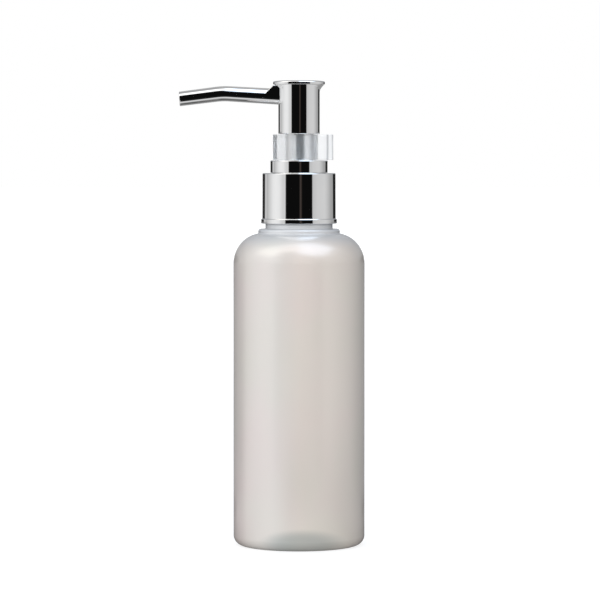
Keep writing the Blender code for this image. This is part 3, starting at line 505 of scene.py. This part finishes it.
def lathe(name, outline, stuff, depth=1.0, segments=ROUND):
    """A closed outline (r, z) in mm turned about Z; it runs with its material on the left."""
    count = len(outline)
    flats = []
    for i in range(count):
        along = Vector(outline[(i + 1) % count]) - Vector(outline[i])
        flats.append((Vector((along[1], -along[0])).normalized(), along.length))
    angles = [2 * pi * k / segments for k in range(segments)]
    verts, rings, faces, normals = [], [], [], []
    for r, z in outline:
        if r < ON_AXIS:
            rings.append([len(verts)] * segments)
            verts.append((0.0, 0.0, z * MM))
            continue
        rings.append(list(range(len(verts), len(verts) + segments)))
        verts += [(r * MM * cos(a), r * MM * depth * sin(a), z * MM) for a in angles]

    def corner_normal(i, own):
        """Normal at outline point i, for the face after it (own = i) or before it (own = i - 1)."""
        following, preceding = flats[i], flats[i - 1]
        if following[0].angle(preceding[0], 0.0) > radians(CREASE):
            return flats[own][0]
        return (following[0] * following[1] + preceding[0] * preceding[1]).normalized()

    def turned(flat, k):
        a = 2 * pi * k / segments
        return Vector((flat[0] * cos(a), flat[0] * sin(a) / depth, flat[1])).normalized()

    for i in range(count):
        j = (i + 1) % count
        low, high = rings[i], rings[j]
        low_point, high_point = low[0] == low[1], high[0] == high[1]
        if low_point and high_point:
            continue
        n_low, n_high = corner_normal(i, i), corner_normal(j, j - 1)
        for k in range(segments):
            m = (k + 1) % segments
            if low_point:
                faces.append((low[0], high[m], high[k]))
                normals += [turned(n_low, k + 0.5), turned(n_high, k + 1), turned(n_high, k)]
            elif high_point:
                faces.append((low[k], low[m], high[0]))
                normals += [turned(n_low, k), turned(n_low, k + 1), turned(n_high, k + 0.5)]
            else:
                faces.append((low[k], low[m], high[m], high[k]))
                normals += [turned(n_low, k), turned(n_low, k + 1),
                            turned(n_high, k + 1), turned(n_high, k)]
    return build(name, verts, faces, stuff, normals)


def bevelled(piece, width):
    """The piece with its sharp edges rounded, the modifier made real."""
    modifier = piece.modifiers.new("edge", "BEVEL")
    modifier.width = width * MM
    modifier.segments = 4
    modifier.limit_method = "ANGLE"
    modifier.angle_limit = radians(SLAB_CREASE)
    modifier.harden_normals = True
    graph = bpy.context.evaluated_depsgraph_get()
    mesh = bpy.data.meshes.new_from_object(piece.evaluated_get(graph))
    piece.modifiers.clear()
    piece.data = mesh
    return piece


def slab(name, outline, low, high, stuff, upright=False):
    """A plate from an outline (x, y) in mm between two heights, or (x, z) between two depths."""
    def place(a, b, h):
        return (a * MM, h * MM, b * MM) if upright else (a * MM, b * MM, h * MM)

    mesh = bmesh.new()
    floor = [mesh.verts.new(place(a, b, low)) for a, b in outline]
    roof = [mesh.verts.new(place(a, b, high)) for a, b in outline]
    mesh.faces.new(floor[::-1])
    mesh.faces.new(roof)
    for i in range(len(outline)):
        j = (i + 1) % len(outline)
        mesh.faces.new((floor[i], floor[j], roof[j], roof[i]))
    bmesh.ops.recalc_face_normals(mesh, faces=mesh.faces)
    data = bpy.data.meshes.new(name)
    mesh.to_mesh(data)
    mesh.free()
    data.polygons.foreach_set("use_smooth", [True] * len(data.polygons))
    data.set_sharp_from_angle(angle=radians(SLAB_CREASE))
    return placed(name, data, stuff)


def sweep(name, route, stuff, around):
    """A tube along stations (place, direction, radius) in mm, each ring square to its direction."""
    verts = []
    for place, direction, radius in route:
        side = Vector((0.0, 1.0, 0.0))
        side = (side - direction * side.dot(direction)).normalized()
        up = direction.cross(side).normalized()
        for k in range(around):
            a = 2 * pi * k / around
            verts.append((place + (side * cos(a) + up * sin(a)) * radius) * MM)
    piece = build(name, verts, band_faces(len(route), around), stuff)
    mesh = bmesh.new()
    mesh.from_mesh(piece.data)
    bmesh.ops.recalc_face_normals(mesh, faces=mesh.faces)
    mesh.to_mesh(piece.data)
    mesh.free()
    piece.data.set_sharp_from_angle(angle=radians(CREASE))
    return piece


def join(name, pieces):
    """One object from several."""
    with bpy.context.temp_override(active_object=pieces[0], selected_editable_objects=pieces,
                                   selected_objects=pieces, object=pieces[0]):
        bpy.ops.object.join()
    pieces[0].name = name
    pieces[0].data.name = name
    return pieces[0]


# Pieces, with all sizes in mm

def make_thread(stuff):
    """The bottle's screw thread: a round bead along a helix, thinner towards its ends."""
    turns, steps, run_out, ring = 1.5, 96, 14.0, 12
    pitch, radius, foot, thin, swell = 3.18, 11.15, 128.23, 0.30, 0.40
    last = int(turns * steps)
    verts = []
    for i in range(last + 1):
        a = 2 * pi * i / steps
        bead = thin + swell * min(1.0, i / run_out, (turns * steps - i) / run_out)
        place = Vector((radius * cos(a), radius * sin(a), foot + pitch * i / steps))
        along = Vector((-sin(a), cos(a), pitch / (2 * pi * radius))).normalized()
        out = Vector((place.x, place.y, 0.0)).normalized()
        up = along.cross(out).normalized()
        verts += [(place + (out * cos(2 * pi * k / ring) + up * sin(2 * pi * k / ring)) * bead) * MM
                  for k in range(ring)]
    return build("thread", verts, tube_faces(last + 1, ring), stuff)


def make_bottle(stuff):
    """Bottle: heel, round shoulder, bead, neck ring and threaded neck, hollow inside."""
    # The body, and under it a centre pad and a foot ring with a shallow recess between them
    radius, pad, foot, recess = 24.94, 5.0, 17.5, 0.8
    heel_round, shoulder_round, shoulder_foot, hollow = 3.8, 11.4, 107.5, 0.4
    # The neck ring's and the neck's radii and tops, then the inside
    ring, ring_top, neck, mouth, bore = 12.8, 122.8, 10.95, 136.6, 9.0
    inside, inner_heel, inner_shoulder, floor, roof = 24.0, 3.0, 10.4, 2.2, 118.0
    # Arcs as (r, z, radius); a soft hollow joins the shoulder to the bead
    heel = (radius - heel_round, heel_round, heel_round)
    shoulder = (radius - shoulder_round, shoulder_foot, shoulder_round)
    bead = (14.52, 119.5, 1.02)
    span = Vector((bead[0] - shoulder[0], bead[1] - shoulder[1]))
    swing, reach = shoulder[2] + hollow, bead[2] + hollow
    along = (span.length ** 2 + swing ** 2 - reach ** 2) / (2.0 * span.length)
    aside = sqrt(swing ** 2 - along ** 2)
    unit = span.normalized()
    pocket = (shoulder[0] + unit.x * along + unit.y * aside,
              shoulder[1] + unit.y * along - unit.x * aside)
    leave = degrees(atan2(pocket[1] - shoulder[1], pocket[0] - shoulder[0]))
    meet = degrees(atan2(pocket[1] - bead[1], pocket[0] - bead[0]))
    outline = soften([(0.0, 0.0), (pad, 0.0, 0.3), (pad + recess, recess, 0.4),
                      (foot - recess, recess, 0.4), (foot, 0.0, 0.3)], 4)
    outline += arc(heel[:2], heel[2], -90.0, 0.0, 14)
    outline += arc(shoulder[:2], shoulder[2], 0.0, leave, 26)
    outline += arc(pocket, hollow, leave + 180.0, meet + 180.0, 10)[1:]
    outline += arc(bead[:2], bead[2], meet, 90.0, 12)[1:]
    ledge = bead[1] + bead[2]
    outline += soften([(bead[0], ledge), (ring, ledge, 0.35), (ring, ring_top, 0.3),
                       (neck, ring_top, 0.3), (neck, mouth, 0.3), (bore, mouth, 0.3),
                       (bore, roof)], 4)[1:]
    # Inside: shoulder, heel and the floor's middle
    outline += arc((inside - inner_shoulder, shoulder_foot), inner_shoulder, 90.0, 0.0, 12)
    outline += arc((inside - inner_heel, floor + inner_heel), inner_heel, 0.0, -90.0, 8)
    outline += [(0.0, floor)]
    body = lathe("bottle_body", outline, stuff, segments=192)
    return join("bottle_body", [body, make_thread(stuff)])


def make_collar_shell(stuff):
    """Shell over the collar, with a rolled edge at its foot."""
    foot, roll_top, top, wall = 122.5, 124.27, 141.65, 0.5
    # Radii of the opening in the top, the shell above and below, and the rolled edge
    opening, upper, lower, lower_inside, roll = 10.5, 13.95, 14.03, 13.65, 14.45
    corners = [(opening, top - wall, 0.12), (upper - wall, top - wall, 0.2),
               (lower_inside, foot, 0.15), (roll, foot, 0.25), (roll, roll_top, 0.22),
               (lower, roll_top, 0.3), (upper, top, 0.45), (opening, top, 0.12)]
    return lathe("collar_plated", soften(corners, 6), stuff)


def make_step_ring(stuff):
    """The closure's upper step."""
    foot, top, roof, outer, inner, hole = 141.75, 146.45, 0.5, 10.92, 10.5, 8.6
    corners = [(inner, top - roof, 0.1), (inner, foot, 0.12), (outer, foot, 0.12),
               (outer, top, 0.4), (hole, top, 0.15), (hole, top - roof, 0.1)]
    return lathe("step_plated", soften(corners, 6), stuff)


def make_sleeve(stuff):
    """Sleeve round the stem."""
    foot, top, outer, inner = 145.45, 159.75, 5.3, 4.3
    corners = [(inner, foot, 0.2), (outer, foot, 0.2), (outer, top, 0.15), (inner, top, 0.15)]
    return lathe("sleeve_plated", soften(corners, 4), stuff)


def make_head_shell(stuff):
    """Round tube that flares to an oval top: at each height the wider of the two outlines."""
    bottom, flare_start, top = 156.35, 172.75, 175.0
    tube_radius, wall, rounding = 7.88, 0.5, 0.4
    # The flare widens by slope and curve, is narrow from front to back, and blends into the tube
    slope, curve, narrow, blend, lead = 0.32, 0.172, 0.73, 0.06, 0.4
    # Where the rows of vertices get close, and the small cuts at the lip and at the foot
    fine_start, fine_count = 172.0, 28
    lip, foot_edge, foot_cut = 0.12, 0.15, 0.03

    def reach(a, z, inset):
        """Radius at an angle and a height, that far inside the outer face."""
        tube = tube_radius - inset
        if z <= flare_start - lead:
            return tube
        above = max(0.0, z - flare_start)
        wide = tube + slope * above + curve * above ** 2
        oval = 1.0 / sqrt((cos(a) / wide) ** 2 + (sin(a) / (wide * narrow)) ** 2)
        return (tube + oval + sqrt((oval - tube) ** 2 + blend ** 2)) / 2.0

    # Rows of (height, inset, change of radius), up the outside, over the lip and down the inside
    foot = [(bottom + rounding * (1 - cos(radians(a))), 0.0, -rounding * (1 - sin(radians(a))))
            for a in range(0, 91, 15)]
    heights = [158.0, 161.0, 164.0, 167.0, 169.5, 171.4]
    heights += [fine_start + (top - fine_start) * i / fine_count for i in range(fine_count + 1)]
    rows = foot + [(z, 0.0, 0.0) for z in heights]
    rows += [(top + lip, lip, 0.0), (top + lip, wall - lip, 0.0), (top, wall, 0.0)]
    rows += [(z, wall, 0.0) for z in heights[-2:0:-1]]
    rows += [(bottom + foot_edge, wall, 0.0), (bottom, wall - foot_cut, 0.0)]
    angles = [2 * pi * k / ROUND for k in range(ROUND)]
    verts = []
    for z, inset, change in rows:
        for a in angles:
            r = reach(a, z, inset) + change
            verts.append((r * MM * cos(a), r * MM * sin(a), z * MM))
    shell = build("head_plated", verts, band_faces(len(rows), ROUND, closed=True), stuff)
    shell.data.set_sharp_from_angle(angle=radians(40.0))
    return shell


def make_head_cap(stuff):
    """Oval plate on top of the head, and the peg that holds it in the core."""
    foot, top, rim, rim_top = 175.17, 176.75, 9.86, 176.32
    peg_foot, peg_top, peg_radius = 174.45, 175.55, 3.0
    # How far the top has fallen at some radii, as (radius, fall)
    falls = ((8.8, 0.25), (8.0, 0.15), (6.5, 0.07), (3.5, 0.0), (0.0, 0.0))
    crown = [(0.0, foot), (8.0, foot), (rim, foot, 0.2), (rim, rim_top, 0.5)]
    crown += [(radius, top - fall) for radius, fall in falls]
    stub = [(0.0, peg_foot), (peg_radius, peg_foot, 0.2), (peg_radius, peg_top), (0.0, peg_top)]
    plate = lathe("cap_plate", soften(crown, 9), stuff, depth=OVAL)
    peg = lathe("cap_peg", soften(stub, 3), stuff, segments=64)
    return join("cap_plated", [plate, peg])


NOZZLE_APEX = (-28.9, 171.78)   # where the nozzle's two straight centre lines would meet
NOZZLE_RISE = radians(3.3)
NOZZLE_FALL = radians(7.2)
NOZZLE_BEND = 26.0


def nozzle_line(reach):
    """Centre and direction of the nozzle at a distance from the head's axis."""
    apex_x, apex_z = NOZZLE_APEX
    rise, fall = NOZZLE_RISE, NOZZLE_FALL
    half = NOZZLE_BEND * tan((rise + fall) / 2.0)
    first = (apex_x + half * cos(rise), apex_z - half * sin(rise))
    last_x = apex_x - half * cos(fall)
    if reach < -first[0]:
        return (Vector((-reach, 0.0, apex_z - (-apex_x - reach) * tan(rise))),
                Vector((-cos(rise), 0.0, sin(rise))))
    if reach > -last_x:
        return (Vector((-reach, 0.0, apex_z - (reach + apex_x) * tan(fall))),
                Vector((-cos(fall), 0.0, -sin(fall))))
    centre = (first[0] - NOZZLE_BEND * sin(rise), first[1] - NOZZLE_BEND * cos(rise))
    x = -reach - centre[0]
    z = sqrt(NOZZLE_BEND ** 2 - x ** 2)
    return Vector((-reach, 0.0, centre[1] + z)), Vector((-z / NOZZLE_BEND, 0.0, x / NOZZLE_BEND))


def make_nozzle(stuff):
    """Bent outlet tube with a rounded, open tip, and the flat-sided gusset at its root."""
    start, tip, rim, chamfer = 7.4, 45.36, 0.22, 0.45
    root, root_reach, taper, taper_length = 2.95, 13.8, 0.19, 28.9
    bore, bore_depth, mouth, mouth_depth = 1.6, 0.8, 1.78, 0.18
    outer_count, rim_count, bore_count, around = 60, 5, 14, 72
    gusset_foot, gusset_top, gusset_root = 170.1, 174.9, -6.95
    gusset_half, gusset_round = 2.93, 0.34

    def width(reach):
        """Outer radius, a little smaller towards the tip."""
        return root - taper * (reach - root_reach) / taper_length

    stations = []
    for i in range(outer_count + 1):
        reach = start + (tip - chamfer - start) * i / outer_count
        stations.append((*nozzle_line(reach), width(reach)))
    end, along = nozzle_line(tip)
    # The tip is cut a little steeper than square to the tube
    cut = radians(3.6)
    face = Vector((-cos(cut), 0.0, -sin(cut)))
    stations[-1] = (stations[-1][0], face, stations[-1][2])
    for step in range(1, rim_count + 1):
        a = radians(90.0 * step / rim_count)
        stations.append((end - along * rim * (1 - sin(a)), face, width(tip) - rim * (1 - cos(a))))
    stations.append((end, face, mouth))
    stations.append((end - along * mouth_depth, face, bore))
    bore_end = tip - bore_depth
    for i in range(bore_count + 1):
        stations.append((*nozzle_line(bore_end - (bore_end - start) * i / bore_count), bore))
    tube = sweep("nozzle_tube", stations, stuff, around)
    outline = [(-14.2, gusset_foot), (-13.9, 170.85), (-9.9, gusset_top), (gusset_root, gusset_top),
               (gusset_root, gusset_foot)]
    plate = slab("gusset", outline, -gusset_half, gusset_half, stuff, upright=True)
    gusset = bevelled(plate, gusset_round)
    return join("nozzle_plated", [tube, gusset])


def make_clip(stuff):
    """Clear clip: a ring open to the left, with lead-in lips, and a pull plate on the right."""
    inner, outer, channel, web = 5.6, 7.0, 5.0, 0.7
    plate_front, plate_back, plate_half = 12.95, 10.8, 4.5
    lip_start, lip_end, lip_half = -8.2, -9.8, 8.2
    foot, top, edge = 146.6, 156.2, 0.25
    half = [(plate_front, plate_half), (plate_back, plate_half), (plate_back, web)]
    half += arc((0.0, 0.0), outer, degrees(asin(web / outer)), 90.0, 24)
    half += [(lip_start, outer), (lip_start, lip_half), (lip_end, lip_half), (lip_end, outer)]
    half += [(lip_start, channel)]
    half += arc((0.0, 0.0), inner, 180.0 - degrees(asin(channel / inner)), 0.0, 30)
    mirrored = [(x, -y) for x, y in reversed(half[:-1])]
    return bevelled(slab("clip_clear", half + mirrored, foot, top, stuff), edge)


def make_spring(stuff):
    """Coil spring."""
    turns, around, ring = 9, 40, 12
    low, high, mean, wire = 105.0, 126.3, 4.3, 0.35
    steps = turns * around
    verts = []
    for i in range(steps + 1):
        a = 2 * pi * i / around
        out = Vector((cos(a), sin(a), 0.0))
        place = out * mean + Vector((0.0, 0.0, low + (high - low) * i / steps))
        for k in range(ring):
            b = 2 * pi * k / ring
            verts.append((place + out * wire * cos(b) + Vector((0.0, 0.0, wire * sin(b)))) * MM)
    # Each ring runs the other way round the wire than a tube's does
    faces = [(face[0], *face[:0:-1]) for face in tube_faces(steps + 1, ring)]
    return build("spring_wound", verts, faces, stuff)


def make_object():
    chrome, pearl, clear = chrome_material(), pearl_material(), clear_material()
    white = plastic_material("white_moulding", rough=0.40, grain=2500.0,
                             dark=(0.78, 0.78, 0.77), light=(0.82, 0.82, 0.81))
    natural = plastic_material("natural_moulding", rough=0.45, grain=2500.0,
                               dark=(0.68, 0.68, 0.66), light=(0.72, 0.72, 0.70))
    grey = plastic_material("elastomer", rough=0.70, grain=4000.0,
                            dark=(0.32, 0.32, 0.33), light=(0.38, 0.38, 0.39))
    steel = steel_material()
    # (piece, body it rides on, CAD node that it replaces, material slot)
    pieces = (
        (make_bottle(pearl), "bottle", "bottle", "pearl_plastic"),
        (make_collar_shell(chrome), "collar", "collar_shell", "chrome_plate"),
        (make_step_ring(chrome), "collar", "step_ring", "chrome_plate"),
        (make_sleeve(chrome), "head", "stem_sleeve", "chrome_plate"),
        (make_head_shell(chrome), "head", "head_shell", "chrome_plate"),
        (make_head_cap(chrome), "head", "head_cap", "chrome_plate"),
        (make_nozzle(chrome), "head", "nozzle", "chrome_plate"),
        (make_clip(clear), "clip", "lock_clip", "clear_plastic"),
        (make_spring(steel), "pump", "return_spring", "spring_steel"),
    )
    for piece, body, node, slot in pieces:
        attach(piece, body)
        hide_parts(node)
    # The press shortens the spring, whose foot stays where it is; here the spring only gets a mesh
    # of its own
    spring = pieces[-1][0]
    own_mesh(spring)
    carried = {
        "screw_collar": white, "chaplet": white, "stem": white, "piston_retainer": white,
        "pump_housing": natural, "piston": natural, "dip_tube": natural, "head_core": natural,
        "neck_gasket": grey, "inlet_ball": steel, "outlet_ball": steel,
    }
    for node, stuff in carried.items():
        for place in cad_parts[node].material_slots:
            place.material = stuff


bpy.context.scene.view_settings.view_transform = "Standard"
make_world()
make_floor()
make_lamp("key", place=(0.26, -1.48, 0.50), width=1.1, height=0.8, power=17.8,
          colour=(1.0, 0.985, 0.96))
make_lamp("left", place=(-1.09, -1.04, 0.50), width=0.9, height=0.8, power=11.7,
          colour=(0.99, 1.0, 1.0))
make_camera()
make_object()
